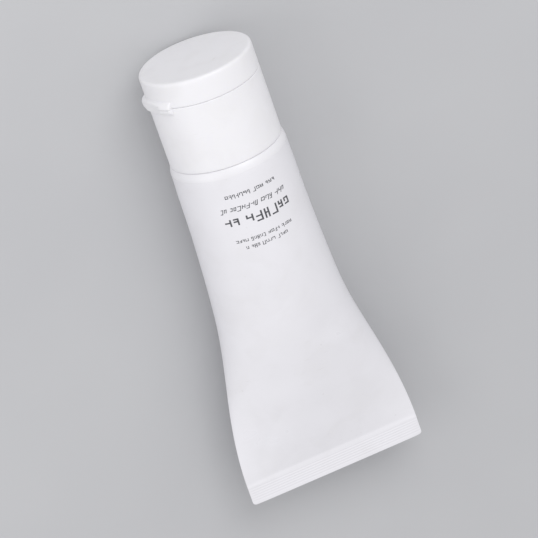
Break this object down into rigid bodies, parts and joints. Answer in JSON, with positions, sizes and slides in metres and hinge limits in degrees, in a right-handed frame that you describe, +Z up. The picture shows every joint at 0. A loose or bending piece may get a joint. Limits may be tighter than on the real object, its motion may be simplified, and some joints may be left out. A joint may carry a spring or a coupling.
{
  "type": "shaving cream tube",
  "caption": "Full squeeze tube of shaving cream with a flat welded tail, a threaded neck and a screw-on flip-top cap, lying on its back.",
  "frame": {"origin": "on the surface the tube lies on, under the middle of its length and width", "axes": "+Y along the tube from the welded tail to the lid, +Z up out of the printed front, X across the flattened tail"},
  "size_m": [0.055, 0.1388, 0.035],
  "materials": {
    "sleeve_laminate": "smooth white laminate, softly glossy",
    "shoulder_plastic": "white moulded polyethylene",
    "barrier_laminate": "thin foil-lined barrier",
    "seal_foil": "embossed foil",
    "washer_foam": "fine closed-cell foam",
    "cap_plastic": "white moulded polypropylene, satin",
    "cream": "soft white cream"
  },
  "bodies": {
    "tube": {"tube_sleeve": "sleeve_laminate", "tube_shoulder": "shoulder_plastic", "barrier_insert": "barrier_laminate", "foil_seal": "seal_foil", "shaving_cream": "cream"},
    "washer": {"sealing_washer": "washer_foam"},
    "cap": {"cap_base": "cap_plastic", "living_hinge": "cap_plastic"},
    "lid": {"flip_lid": "cap_plastic"}
  },
  "joints": [
    {"name": "cap_lift", "type": "slide", "parent": "tube", "child": "washer", "axis": [0, 1, 0], "range_m": [0, 0.0064]},
    {"name": "cap_turn", "type": "hinge", "parent": "washer", "child": "cap", "pos_m": [0, 0.04055, 0.0175], "axis": [0, 1, 0], "range_deg": [0, 720]},
    {"name": "lid_hinge", "type": "hinge", "parent": "cap", "child": "lid", "pos_m": [-0.01706, 0.06175, 0.02239], "axis": [0.2756, 0, 0.9613], "range_deg": [0, 160], "deforming": ["living_hinge"]}
  ],
  "couplings": [
    {"joint": "cap_lift", "follows": "cap_turn", "m_per_rad": 0.00050929}
  ]
}
